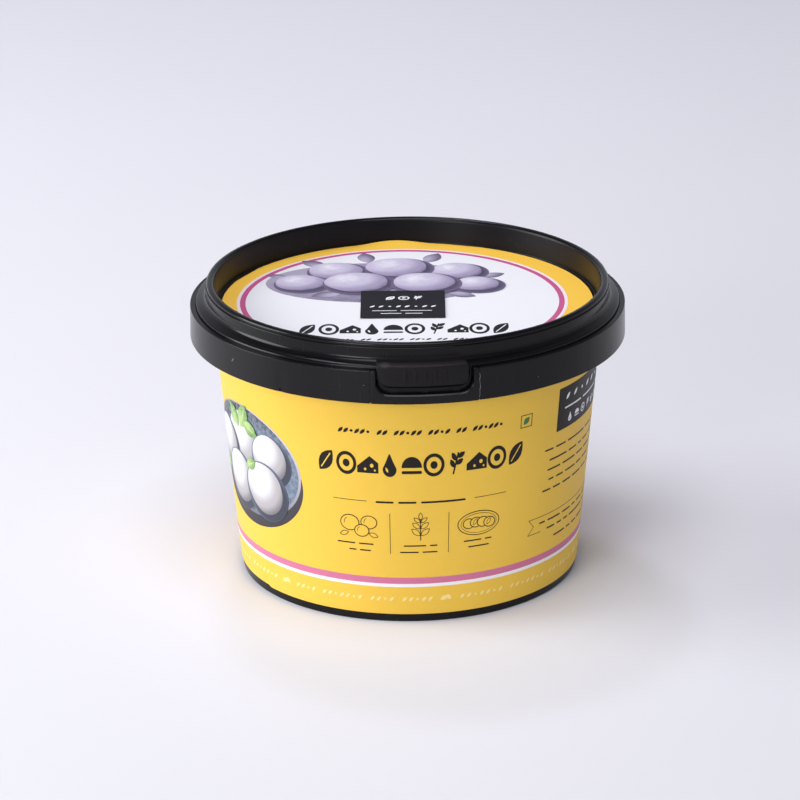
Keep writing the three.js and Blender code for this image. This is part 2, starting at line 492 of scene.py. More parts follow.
pictureInks = {
    "platterSlate": {
        "light": (0.3, 0.7),
        "stops": ((0.0, (0.07, 0.066, 0.08)), (1.0, (0.02, 0.019, 0.024))),
    },
    "platterRim": {
        "light": (0.5, 0.5),
        "stops": ((0.0, (0.56, 0.53, 0.62)), (1.0, (0.14, 0.13, 0.17))),
    },
    "platterGlaze": {
        "light": (0.3, -0.1),
        "stops": ((0.0, (0.16, 0.22, 0.32)), (0.4, (0.11, 0.15, 0.22)), (0.58, (0.03, 0.036, 0.06))),
        "mottle": {"size": 1.1, "share": 0.4, "colour": (0.36, 0.40, 0.44)},
    },
    "roundShadow": {
        "light": (0.1, -0.1),
        "stops": ((0.0, (0.012, 0.014, 0.024)), (0.44, (0.03, 0.035, 0.055)), (0.6, (0.10, 0.13, 0.19))),
    },
    "whiteRound": {
        "light": (-0.3, 0.42),
        "stops": ((0.0, (0.80, 0.79, 0.80)), (0.34, (0.66, 0.645, 0.66)), (0.62, (0.40, 0.375, 0.39)),
                  (0.84, (0.17, 0.155, 0.17))),
    },
    "greenLeaf": {
        "light": (-0.5, 0.3),
        "stops": ((0.0, (0.40, 0.56, 0.17)), (0.8, (0.09, 0.24, 0.04))),
        "mottle": {"size": 0.8, "share": 0.35, "colour": (0.55, 0.68, 0.34)},
    },
    "leafVein": {
        "light": (0, 0),
        "stops": ((0.0, (0.60, 0.70, 0.38)), (0.6, (0.34, 0.48, 0.18))),
    },
    "lavenderBoard": {
        "light": (-0.6, 0.3),
        "stops": ((0.0, (0.42, 0.38, 0.50)), (0.9, (0.17, 0.145, 0.23))),
        "mottle": {"size": 2.4, "share": 0.4, "colour": (0.42, 0.38, 0.50)},
    },
    "lavenderShadow": {
        "light": (0, 0),
        "stops": ((0.0, (0.04, 0.03, 0.06)), (0.45, (0.06, 0.05, 0.10)), (0.56, (0.14, 0.11, 0.20))),
    },
    "lavenderRound": {
        "light": (-0.3, 0.4),
        "stops": ((0.0, (0.84, 0.81, 0.90)), (0.35, (0.60, 0.55, 0.70)), (0.66, (0.33, 0.28, 0.43)),
                  (0.85, (0.13, 0.10, 0.19))),
        "mottle": {"size": 3.0, "share": 0.3, "colour": (0.42, 0.37, 0.52)},
    },
    "lavenderLeaf": {
        "light": (-0.4, 0.4),
        "stops": ((0.0, (0.46, 0.42, 0.56)), (0.9, (0.12, 0.09, 0.17))),
    },
}

# What a plastic has unless its own values say otherwise, and the dull look of small marks in it
plainPlastic = {"cloudSize": 18, "specular": 0.2, "grain": 0.2, "ripple": 0.2, "scratches": 0.1,
                "speckSpacing": 9}
dull = {"cloudSize": 1.2, "gloss": (0.5, 0.6), "grain": 1.0}
plastics = {
    "tub": {"colour": (0.0048, 0.0041, 0.0052), "cloudColour": (0.0068, 0.0058, 0.0072), "cloudSize": 16,
            "gloss": (0.20, 0.27), "grain": 0.25, "ripple": 0.3, "scratches": 0.05},
    "lid": {"colour": (0.0034, 0.0030, 0.0040), "cloudColour": (0.0050, 0.0045, 0.0056),
            "gloss": (0.15, 0.21), "ripple": 0.25, "speckSpacing": 11},
    "recess": {"colour": (0.0034, 0.0029, 0.0038), "cloudColour": (0.0050, 0.0044, 0.0053),
               "gloss": (0.29, 0.35), "ripple": 0.25, "speckSpacing": 15},
    "tab": {"colour": (0.0066, 0.0056, 0.0064), "cloudColour": (0.0088, 0.0075, 0.0084), "cloudSize": 7,
            "gloss": (0.40, 0.48), "specular": 0.16, "grain": 0.7, "scratches": 0.15, "speckSpacing": 14,
            "scuff": {"centre": (-5.9, -57.6, 77.3), "size": 1.9, "share": 0.6,
                      "colour": (0.038, 0.032, 0.028)}},
    "stress": {"colour": (0.17, 0.165, 0.175), "cloudColour": (0.07, 0.07, 0.075), "specular": 0.3, **dull},
    # Painted shade for the nick: near black and hardly reflecting
    "shade": {"colour": (0.002, 0.002, 0.002), "cloudColour": (0.003, 0.003, 0.003), "specular": 0.03,
              "scratches": 0.0, **dull},
}
films = {
    "wrap": {"gloss": (0.42, 0.5), "specular": 0.22, "drift": 0.93, "screen": 0.12, "ripple": 0.25},
    "lid": {"gloss": (0.44, 0.52), "specular": 0.12, "drift": 0.96, "screen": 0.08, "ripple": 0.15},
}
inks = {
    "yellow": (0.872, 0.547, 0.068),
    "pink": (0.64, 0.18, 0.31),
    "white": (0.90, 0.89, 0.91),
    "dark": (0.012, 0.009, 0.007),
    "pale": (0.92, 0.73, 0.30),
    "lidYellow": (0.98, 0.59, 0.075),
    "lidWhite": (0.86, 0.86, 0.89),
    "magenta": (0.57, 0.10, 0.26),
    "blush": (0.90, 0.80, 0.82),
    "slate": (0.010, 0.009, 0.013),
    "green": (0.05, 0.20, 0.07),
}

# The tub

roundSteps = 288  # flats round a full turn
wall = {
    "footRadius": 46.14,
    "taper": 0.089,
    "footRounding": 0.4,
    "cornerRounding": 0.5,
    "recess": 0.9,  # how far the underside is drawn in
    "standWidth": 3.6,
    "standSlope": 1,
    "channelCeiling": 71.5,
    "lidSeat": 73,
    "reach": 56.6,
}
collar = {
    "steps": 272,
    "top": tubHigh.z,
    "bottom": 66.7,
    "topRadius": tubHigh.x - 0.15,
    "flare": 0.15,  # how much wider its lower edge is
    "thickness": 1.1,
    "lip": 0.6,  # its thickness above the lid's seat
    "gutter": (57.65, 75.5),  # the narrow floor between it and the lid
    "root": 0.3,  # how far it reaches into the tub
    "rounding": 0.2,
    "footRounding": 0.25,
    "ceilingRounding": 0.3,
    "lipRounding": 0.15,
    "tearWidth": 28.6,  # between the two lines where it tears
    "tearGap": 0.3,
    "web": (1.2, 0.5),  # width and thickness of what closes each line from behind
    "webShort": 0.5,  # how much shorter it is than the line
    "webDepths": (0.1, 0.12),  # how deep the left and the right one lie
    "turn": 4.3,
    # Direction, height, size and depth
    "dents": ((-76, 71.0, 1.3, 0.3), (-70.5, 69.4, 1.1, 0.25), (-34.4, 67.0, 0.9, 0.3),
              (52, 67.1, 0.8, 0.2), (86, 70.6, 1.0, -0.35), (-84, 68.4, 0.9, -0.3)),
}
window = {
    "width": 25.8,
    "bottom": 69.2,
    "corner": 3.4,
    "ledge": 0.32,  # the slanting edge along its foot
    "edge": 0.1,
    "bridges": (-8.4, 0, 8.4),
    "bridge": (2, 1.4, 0.6, 1.4),  # width, height, thickness and how deep its middle lies
    "overlap": 0.3,
    "pocket": (27.8, 4.2, 0.4),
    "pocketDepth": 1.85,
    "pocketRise": 0.5,  # of its middle over the window's foot
}


def wallRadiusAt(height):
    return wall["footRadius"] + wall["taper"] * height


def collarRadiusAt(height):
    share = (height - collar["bottom"]) / (collar["top"] - collar["bottom"])
    return collar["topRadius"] + collar["flare"] * (1 - share)


def makeTubWall(material):
    ring = wallRadiusAt(0)
    stand = ring - wall["standWidth"]
    corners = [
        (0, wall["recess"], 0),
        (stand - wall["standSlope"], wall["recess"], wall["cornerRounding"]),
        (stand, 0, wall["footRounding"]),
        (ring, 0, wall["footRounding"]),
        (wallRadiusAt(wall["channelCeiling"]), wall["channelCeiling"], wall["cornerRounding"]),
        (wall["reach"], wall["channelCeiling"], 0),
        (wall["reach"], wall["lidSeat"], 0),
        (0, wall["lidSeat"], 0),
    ]
    writePiece(spun(corners, roundSteps), "tub_wall", [material], ["tub"])


def dent(bm, dents):
    # Presses small nicks into a wall, or raises nubs where the depth is negative.
    for direction, height, size, depth in dents:
        turn = math.radians(direction)
        for vert in bm.verts:
            radius = math.hypot(vert.co.x, vert.co.y)
            across = radius * (math.remainder(math.atan2(vert.co.x, -vert.co.y) - turn, fullTurn))
            near = 1 - math.hypot(across, vert.co.z - height) / size
            if near > 0:
                shrink = 1 - depth * near / radius
                vert.co.x *= shrink
                vert.co.y *= shrink


def makeCollar(material):
    outer = collarRadiusAt(collar["bottom"])
    lip = collar["topRadius"] - collar["lip"]
    gutterRadius, gutterHeight = collar["gutter"]
    root = wall["reach"] - collar["root"]
    corners = [
        (root, wall["channelCeiling"], 0),
        (outer - collar["thickness"], wall["channelCeiling"], collar["ceilingRounding"]),
        (outer - collar["thickness"], collar["bottom"], collar["footRounding"]),
        (outer, collar["bottom"], collar["footRounding"]),
        (collar["topRadius"], collar["top"], collar["rounding"]),
        (lip, collar["top"], collar["lipRounding"]),
        (lip, gutterHeight, 0),
        (gutterRadius, gutterHeight, 0),
        (gutterRadius, wall["lidSeat"], 0),
        (root, wall["lidSeat"], 0),
    ]
    gap = math.degrees((collar["tearWidth"] + collar["tearGap"]) / collar["topRadius"])
    bm = spun(corners, collar["steps"], closed=True, start=collar["turn"] + gap / 2, sweep=360 - gap)
    dent(bm, collar["dents"])
    writePiece(bm, "tub_collar", [material], ["tub"])


def makeTearStrip(material):
    # The strip of collar under the tab: a U round the window, with bridges across the gap and,
    # behind it, the dark pocket that the lid's skirt reaches into.
    half = (collar["tearWidth"] - collar["tearGap"]) / 2
    opening, sill = window["width"] / 2, window["bottom"]
    low, top = collar["bottom"], collar["top"]
    bm = bmesh.new()
    outline = uShape(half, opening, low, sill, top)
    plate(bm, outline, 0, collar["thickness"], (4, 5), window["corner"])
    near = 0.01
    foot = [edge for edge in bm.edges if all(
        vert.co.z > -near and abs(vert.co.x) < opening + near and sill - near < vert.co.y < top - 0.5
        for vert in edge.verts)]
    roundOff(bm, foot, window["ledge"], 1)
    bevelSharp(bm, window["edge"], segments=2)
    width, height, thickness, depth = window["bridge"]
    lap = window["overlap"]
    for place in window["bridges"]:
        addBlock(bm, (width, height, thickness), (place, sill - lap + height / 2, -depth - lap))
    addBlock(bm, window["pocket"], (0, sill + window["pocketRise"], -window["pocketDepth"]))
    sliceAcross(bm, bendStrip)
    bend(bm, collarRadiusAt, collar["topRadius"], collar["turn"])
    writePiece(bm, "tub_tear_strip", [material], ["tub"])

    # Thin webs close the two break lines from behind
    bm = bmesh.new()
    width, thickness = collar["web"]
    for way, depth in zip((-1, 1), collar["webDepths"]):
        place = (way * collar["tearWidth"] / 2, (top + low) / 2, -depth - thickness / 2)
        addBlock(bm, (width, top - low - collar["webShort"], thickness), place)
    bend(bm, collarRadiusAt, collar["topRadius"], collar["turn"])
    writePiece(bm, "tub_tear_webs", [material], ["tub"])


marks = {
    "crack": ((0.05, 74.2), (0.22, 73.2), (0.02, 72.4), (0.16, 71.3), (0.26, 70.4), (0.08, 69.5),
              (0.12, 68.5), (-0.02, 67.5)),
    "crackWidths": (0.136, 0.221, 0.136),  # in turn
    "specks": ((-51.3, 71.4, 1.4), (-11.2, 71.7, 0.3), (35.0, 70.2, 0.28)),  # direction, height, length
    # Painted shade: a near-black patch where a nick lies; direction, height and size
    "paintedNickShade": (-34.6, 67.25, 0.9),
}


def makeMarks(stress, shade):
    # The whitened line where the collar has begun to tear, a few pale specks, and a nick's shade painted as
    # a near-black patch.
    bm = bmesh.new()
    radius = collar["topRadius"]
    line = math.radians(collar["turn"]) * radius + collar["tearWidth"] / 2
    crack = [(line + across, height) for across, height in marks["crack"]]
    for index, ends in enumerate(zip(crack, crack[1:])):
        strokeLine(bm, ends, marks["crackWidths"][index % 3])
    for direction, height, size in marks["specks"]:
        speck = disc(bm, size, 0.2 + size * 0.12, sides=7)
        lay(bm, speck, math.radians(direction) * radius, height, turn=55)
    # Painted shade: the nick is a near-black patch that hardly reflects.
    direction, height, size = marks["paintedNickShade"]
    lay(bm, disc(bm, size, size / 2, sides=5), math.radians(direction) * radius, height, 1, turn=70)
    thicken(bm, layer["depth"])
    bend(bm, collarRadiusAt, radius)
    writePiece(bm, "tub_marks", [stress, shade])


# The lid

lid = {
    "underside": 73.05,
    "edgeRadius": 57.5,
    "edgeHeight": 76.3,
    "edgeRounding": 0.42,
    "flangeSlope": 20,
    "coveRounding": 0.9,  # from the shoulder's corner, along the flange and up the wall
    "wallRadius": 54.85,
    "stepHeight": 80.6,
    "step": (0.1, 0.05),  # how far inside the bead it ends, and how much higher
    "rimRadius": 54.55,
    "rimInnerRadius": 52.4,
    "beadRounding": 0.9,
    "recessRadius": 51.6,
    "recessFloor": 74.55,
    "recessRounding": 0.3,
    "fineRounding": 0.2,  # of the step under the bead and of the underside's edge
}
tab = {
    "left": (-13.3, -12.7, -11.7),  # its sides, at the tongue's end, the fold and the foot
    "right": (11.35, 11.4, 11.7),
    "bottom": 71.5,
    "faceRadius": 58.95,
    "thickness": 0.85,
    "corner": 2.2,
    "foldHeight": 76.3,
    "foldRadius": 0.92,
    "foldSweep": 82,  # degrees, so that the tongue climbs a little towards the rim
    "tongue": 3.5,
    "skirtWidth": 24.9,
    "skirtBottom": 69.9,
    "skirtTop": 76.1,
    "skirtCorner": 3,
    "lipDepth": 1.0,  # the raised edge round the skirt, behind the tab's face
    "lipThickness": 0.55,
    "lipWidth": 0.42,
    "lipTop": 70.8,
    "back": 0.4,  # the thickness of the sheet behind the lip
    "lap": 0.05,
    "edge": 0.25,
    "skirtEdge": 0.12,
    "ribs": 5,
    "ribSpacing": 2.6,
    "rib": (1, 3.4, 0.6),
    "ribUp": 74.1,
    "ribRise": 0.2,
    "ribEdge": 0.15,
}


def makeLid(material, recessMaterial):
    flange = lid["edgeRadius"] - lid["wallRadius"]
    shoulderHeight = lid["edgeHeight"] + flange * math.tan(math.radians(lid["flangeSlope"]))
    stepIn, stepUp = lid["step"]
    corners = [
        (0, lid["underside"], 0),
        (lid["edgeRadius"], lid["underside"], lid["fineRounding"]),
        (lid["edgeRadius"], lid["edgeHeight"], lid["edgeRounding"]),
        (lid["wallRadius"], shoulderHeight, lid["coveRounding"]),
        (lid["wallRadius"], lid["stepHeight"], lid["fineRounding"]),
        (lid["rimRadius"] - stepIn, lid["stepHeight"] + stepUp, 0),
        (lid["rimRadius"], lidHigh.z, lid["beadRounding"]),
        (lid["rimInnerRadius"], lidHigh.z, lid["beadRounding"]),
        (lid["recessRadius"], lid["recessFloor"], lid["recessRounding"]),
        (0, lid["recessFloor"], 0),
    ]
    bm = spun(corners, roundSteps)
    for face in bm.faces:
        middle = face.calc_center_median()
        inside = math.hypot(middle.x, middle.y) < lid["rimInnerRadius"] + 0.1
        if inside and lid["recessFloor"] - 0.1 < middle.z < lidHigh.z - 0.4:
            face.material_index = 1
    writePiece(bm, "lid_shell", [material, recessMaterial], ["lid"])


def writeBentPlate(bm, name, material):
    bend(bm, lambda height: tab["faceRadius"], tab["faceRadius"], collar["turn"])
    writePiece(bm, name, [material], ["lid"])


def makeTab(material):
    bm = bmesh.new()
    length = tab["foldHeight"] + tab["foldRadius"] * math.radians(tab["foldSweep"]) + tab["tongue"]
    heights = (length, tab["foldHeight"], tab["bottom"])
    outline = [*zip(tab["left"], heights), *zip(reversed(tab["right"]), reversed(heights))]
    plate(bm, outline, 0, tab["thickness"], (2, 3), tab["corner"])
    bevelSharp(bm, tab["edge"])
    sliceAcross(bm, bendStrip)
    foldBack(bm, tab["foldHeight"], tab["foldRadius"], tab["foldSweep"])
    for index in range(tab["ribs"]):
        across = (index - (tab["ribs"] - 1) / 2) * tab["ribSpacing"]
        rib = addBlock(bm, tab["rib"], (across, tab["ribUp"], tab["ribRise"] - tab["rib"][2] / 2))
        roundOff(bm, list({edge for vert in rib for edge in vert.link_edges}), tab["ribEdge"], 3)
    writeBentPlate(bm, "lid_tab", material)

    # Behind the tab hangs its skirt, with a raised lip round the lower edge
    half, low, top = tab["skirtWidth"] / 2, tab["skirtBottom"], tab["skirtTop"]
    bm = bmesh.new()
    outline = uShape(half, half - tab["lipWidth"], low, tab["lipTop"], top)
    plate(bm, outline, -tab["lipDepth"], tab["lipThickness"], (0, 1, 4, 5), tab["skirtCorner"])
    bevelSharp(bm, tab["skirtEdge"], segments=2)
    back = bmesh.new()
    outline = [(-half, top), (-half, low), (half, low), (half, top)]
    face = tab["lap"] - tab["lipDepth"] - tab["lipThickness"]
    plate(back, outline, face, tab["back"], (1, 2), tab["skirtCorner"])
    addTo(bm, back)
    sliceAcross(bm, bendStrip)
    writeBentPlate(bm, "lid_tab_skirt", material)


# The labels

wrap = {
    "bottom": wrapLow.z,
    "top": wrapHigh.z,
    "thickness": 0.25,
    "standOff": 0.3,  # its face, over the tub's wall
    "whiteStripe": (10.5, 11.45),
    "pinkStripe": (11.45, 13.35),
    "wrapRadius": 49.5,  # where the print's own millimetres are true
    "seam": 176,
    "seamWidth": 7,
    "seamRise": 0.14,
    "seamGap": 0.02,
    "jog": -54,  # from here back to the seam the lower edge is cut a little higher
    "jogRise": 0.4,
}


def labelRadiusAt(height):
    return wallRadiusAt(height) + wrap["standOff"]


def directionOf(vert):
    return math.degrees(math.atan2(vert.co.x, -vert.co.y))


def makeWrapLabel(yellow, white, pink):
    stripes = [wrap["bottom"], wrap["whiteStripe"][0], *wrap["pinkStripe"], wrap["top"]]
    outer = [(labelRadiusAt(height), height, 0) for height in stripes]
    inner = [(radius - wrap["thickness"], height, 0) for radius, height, _ in reversed(outer)]
    bm = spun(outer + inner, roundSteps, closed=True)
    for vert in bm.verts:
        if vert.co.z < wrap["bottom"] + 0.01 and directionOf(vert) < wrap["jog"]:
            vert.co.z += wrap["jogRise"]
    lifted = [(radius + wrap["seamRise"], height, 0) for radius, height, _ in outer]
    lifted += [(radius + wrap["seamGap"], height, 0) for radius, height, _ in reversed(outer)]
    lap = math.degrees(wrap["seamWidth"] / wrap["wrapRadius"])
    addTo(bm, spun(lifted, 6, closed=True, start=wrap["seam"], sweep=lap))
    for face in bm.faces:
        height = face.calc_center_median().z
        for index, (low, high) in enumerate((wrap["whiteStripe"], wrap["pinkStripe"]), 1):
            if low < height < high:
                face.material_index = index
    writePiece(bm, "wrap_label_film", [yellow, white, pink], ["wrap_label"])


lidLabel = {
    "steps": 240,
    "radius": discHigh.x,
    "top": discHigh.z,
    "bottom": discLow.z,
    "rings": (20, 44, 47.2, 48.4, 49.5),
    "curlFrom": 47.2,  # outside this radius its back edge rides up the lid's wall
    "curlMiddle": -175.8,
    "curlHalf": 13,
    "curlRise": 0.75,
    "curlReach": 0.35,
    "cuts": ((-118, 50.15), (162, 50.2)),  # straight cuts in the rim: direction and distance
    "cutHalf": 25,  # degrees
}


def makeLidLabel(yellow):
    radii = [*lidLabel["rings"], lidLabel["radius"]]
    upper = [(radius, lidLabel["top"], 0) for radius in (0, *radii)]
    lower = [(radius, lidLabel["bottom"], 0) for radius in (*reversed(radii), 0)]
    bm = spun(upper + lower, lidLabel["steps"])

    for vert in bm.verts:
        radius = math.hypot(vert.co.x, vert.co.y)
        if radius < lidLabel["curlFrom"]:
            continue
        direction = directionOf(vert)
        reach = radius
        for middle, distance in lidLabel["cuts"]:
            apart = abs(math.remainder(direction - middle, 360))
            if apart < lidLabel["cutHalf"]:
                reach = min(reach, distance / math.cos(math.radians(apart)))
        apart = abs(math.remainder(direction - lidLabel["curlMiddle"], 360)) / lidLabel["curlHalf"]
        outwards = (radius - lidLabel["curlFrom"]) / (lidLabel["radius"] - lidLabel["curlFrom"])
        curl = max(0, 1 - apart ** 2) ** 2 * outwards ** 2
        reach += curl * lidLabel["curlReach"]
        vert.co.z += curl * lidLabel["curlRise"]
        vert.co.x *= reach / radius
        vert.co.y *= reach / radius
    writePiece(bm, "lid_label_film", [yellow], ["lid_label"])


# Print: thin shapes laid flat (x along the label, y up it) and then wrapped round the tub.

layer = {
    "lift": 0.03,  # of the lowest ink over the film
    "step": 0.012,  # between one ink and the next
    "depth": 0.05,
    "strip": 1.5,
}


def facesOf(verts):
    return {face for vert in verts for face in vert.link_faces}


def moved(bm, verts, x=0.0, y=0.0, turn=0.0, out=0.0):
    turned(bm, verts, turn)
    bmesh.ops.translate(bm, verts=verts, vec=(x, y, out))
    return verts


def lay(bm, verts, x=0.0, y=0.0, ink=0, level=0, turn=0.0):
    moved(bm, verts, x, y, turn, layer["lift"] + level * layer["step"])
    for face in facesOf(verts):
        face.material_index = ink


def paint(bm, verts, x, y, ink, level, turn=0.0):
    # Each picture shape carries its own map, from -1 to 1 across and up it, for its shading.
    chart = bm.loops.layers.uv.get("shapeMap") or bm.loops.layers.uv.new("shapeMap")
    for axis in (0, 1):
        low, high = [pick(vert.co[axis] for vert in verts) for pick in (min, max)]
        for face in facesOf(verts):
            for loop in face.loops:
                loop[chart].uv[axis] = 2 * (loop.vert.co[axis] - low) / (high - low) - 1
    lay(bm, verts, x, y, ink, level, turn)


def disc(bm, width, height=None, sides=20):
    # The half step keeps every point off both middle lines.
    half = Matrix.Rotation(math.pi / sides, 4, "Z")
    verts = bmesh.ops.create_circle(bm, cap_ends=True, segments=sides, radius=0.5, matrix=half)["verts"]
    bmesh.ops.scale(bm, verts=verts, vec=(width, height or width, 1))
    return verts


def blob(bm, width, height, wobble, phase, sides=40):
    # A disc whose edge swells softly here and there.
    verts = disc(bm, width, height, sides)
    for vert in verts:
        angle = math.atan2(vert.co.y, vert.co.x)
        vert.co *= 1 + wobble * math.cos(3 * angle + phase) + 0.5 * wobble * math.cos(5 * angle - phase)
    return verts


def bar(bm, width, height):
    verts = bmesh.ops.create_grid(bm, x_segments=1, y_segments=1, size=0.5)["verts"]
    bmesh.ops.scale(bm, verts=verts, vec=(width, height, 1))
    return verts


def pill(bm, width, height):
    verts = disc(bm, height, sides=8)
    for vert in verts:
        vert.co.x += math.copysign(max(width - height, 0) / 2, vert.co.x)
    return verts


def leaf(bm, length, width, sides=20):
    # Pointed at both ends, lying along x.
    verts = disc(bm, length, width, sides)
    for vert in verts:
        vert.co.y *= max(1 - (2 * vert.co.x / length) ** 2, 0) ** 0.5 * 1.1
    return verts


def drop(bm, width, height):
    verts = disc(bm, width, width, sides=24)
    for vert in verts:
        rise = max(2 * vert.co.y / width, 0)
        vert.co.x *= 1 - rise ** 1.5 * 0.55
        vert.co.y += rise ** 3 * (height - width)
        vert.co.y -= (height - width) / 2
    return verts


def halfDisc(bm, width):
    verts = disc(bm, width, sides=28)
    for vert in verts:
        vert.co.y = max(vert.co.y, 0)
    return verts


def wedge(bm, width, height):
    corners = [(-width / 2, -height / 2), (width / 2, -height / 2), (width / 2, height * 0.1),
               (width * 0.1, height / 2), (-width / 2, -height * 0.12)]
    verts = [bm.verts.new((x, y, 0)) for x, y in corners]
    bm.faces.new(verts)
    return verts


def hollow(bm, verts, stroke):
    # Leaves only a stroke along the shape's edge.
    inner = next(iter(facesOf(verts)))
    ring = bmesh.ops.inset_region(bm, faces=[inner], thickness=stroke, use_boundary=True,
                                  use_even_offset=True)["faces"]
    bmesh.ops.delete(bm, geom=[inner], context="FACES_ONLY")
    return list({vert for face in ring for vert in face.verts})


def arcBand(bm, innerRadius, outerRadius, start, sweep, steps):
    turn = math.radians(start)
    along = Vector((math.cos(turn), math.sin(turn), 0))
    ends = [bm.verts.new(along * innerRadius), bm.verts.new(along * outerRadius)]
    edge = bm.edges.new(ends)
    before = set(bm.verts) - set(ends)
    bmesh.ops.spin(bm, geom=ends + [edge], cent=(0, 0, 0), axis=(0, 0, 1), angle=math.radians(sweep),
                   steps=steps, use_merge=sweep == 360)
    verts = [vert for vert in bm.verts if vert not in before]
    for face in facesOf(verts):
        face.normal_update()
        if face.normal.z < 0:
            face.normal_flip()
    return verts


# Small ornaments, each about as tall as size and centred on the origin. Each gives its shapes
# with their inks: 0 is the printed ink, 1 is the ground showing through on top of it.

slant = 52  # degrees that a large leaf leans
braidSlant = 48


def ballMotif(bm, size):
    return [(disc(bm, size, sides=32), 0), (disc(bm, size * 0.7, sides=28), 1),
            (disc(bm, size * 0.34), 0)]


def leafMotif(bm, size):
    return [(moved(bm, leaf(bm, size * 1.15, size * 0.6), turn=slant), 0),
            (moved(bm, bar(bm, size * 0.82, size * 0.055), turn=slant), 1)]


def dropMotif(bm, size):
    return [(drop(bm, size * 0.66, size), 0),
            (moved(bm, leaf(bm, size * 0.26, size * 0.09), -size * 0.13, -size * 0.2, 115), 1)]


def wedgeMotif(bm, size):
    holes = ((0.17, 0.2, -0.04), (0.12, -0.12, -0.2), (0.09, 0.34, -0.24))
    return [(wedge(bm, size * 1.02, size * 0.74), 0)] + [
        (moved(bm, disc(bm, size * width), size * x, size * y), 1) for width, x, y in holes]


def sliceMotif(bm, size):
    return [(moved(bm, halfDisc(bm, size * 0.96), 0, -size * 0.1), 0),
            (moved(bm, pill(bm, size * 0.96, size * 0.14), 0, -size * 0.3), 0)]


def sprigMotif(bm, size):
    made = [pill(bm, size * 0.98, size * 0.085)]
    for place, way in ((-0.04, 1), (0.1, -1), (0.26, 1), (0.4, -1)):
        blade = leaf(bm, size * 0.42, size * 0.2)
        made.append(moved(bm, blade, size * place, way * size * 0.16, way * 42))
    return [(moved(bm, verts, turn=76), 0) for verts in made]


motifs = {"leaf": leafMotif, "ball": ballMotif, "drop": dropMotif, "wedge": wedgeMotif,
          "slice": sliceMotif, "sprig": sprigMotif}
titleRow = ("leaf", "ball", "wedge", "drop", "slice", "ball", "sprig", "wedge", "ball", "leaf")
sloganGroups = (6, 2, 5, 4, 2, 6)


def motifRow(bm, order, row, ink, ground, x=0.0, level=0, stretch=1.0):
    # A row is its start, its end, its height and the size of what stands in it.
    start, end, y, size = row
    pitch = (end - start) / len(order)
    for index, kind in enumerate(order):
        for over, (verts, shows) in enumerate(motifs[kind](bm, size)):
            bmesh.ops.scale(bm, verts=verts, vec=(1, stretch, 1))
            lay(bm, verts, x + start + (index + 0.5) * pitch, y, ground if shows else ink, level + over)


def braidRow(bm, groups, row, ink, x=0.0, level=0):
    # Slanting leaves, one to each place, with a dot at every third and a place free between groups.
    start, end, y, size = row
    pitch = (end - start) / (sum(groups) + len(groups) - 1)
    x += start + pitch / 2
    for group in groups:
        for index in range(group):
            if index % 3 == 2:
                mark = disc(bm, size * 0.4, sides=10)
            else:
                mark = moved(bm, leaf(bm, size, size * 0.42, sides=10), turn=braidSlant)
            lay(bm, mark, x, y, ink, level)
            x += pitch
        x += pitch


def barRow(bm, groups, x, y, letter, ink, level=0):
    # A line of small print, as one rounded bar to each group; a letter is a width and a height.
    place, height = letter
    for group in groups:
        width = group * place
        lay(bm, pill(bm, width, height), x + width / 2, y, ink, level)
        x += width + place


def strokeLine(bm, ends, width, ink=0, level=0):
    (x0, y0), (x1, y1) = ends
    length = math.hypot(x1 - x0, y1 - y0)
    turn = math.degrees(math.atan2(y1 - y0, x1 - x0))
    lay(bm, bar(bm, length, width), (x0 + x1) / 2, (y0 + y1) / 2, ink, level, turn)


def panelBlock(bm, box, x, ink, level=0):
    x0, x1, y0, y1 = box
    lay(bm, bar(bm, x1 - x0, y1 - y0), x + (x0 + x1) / 2, (y0 + y1) / 2, ink, level)


def outlined(bm, x, y, width, height, stroke, ink, ground, level, sides=28):
    # A drawn oval that hides what lies under it.
    lay(bm, disc(bm, width, height, sides), x, y, ink, level)
    lay(bm, disc(bm, width - 2 * stroke, height - 2 * stroke, sides), x, y, ground, level + 1)


def leafOutline(bm, length, width, stroke):
    return hollow(bm, leaf(bm, length, width), stroke)


def aroundLabel(degrees):
    return math.radians(degrees) * wrap["wrapRadius"]


def wrapInk(bm):
    sliceAcross(bm, layer["strip"])
    thicken(bm, layer["depth"])
    bend(bm, labelRadiusAt, wrap["wrapRadius"])


def settleOnLid(bm):
    thicken(bm, layer["depth"])
    bmesh.ops.translate(bm, verts=bm.verts, vec=(0, 0, discHigh.z))


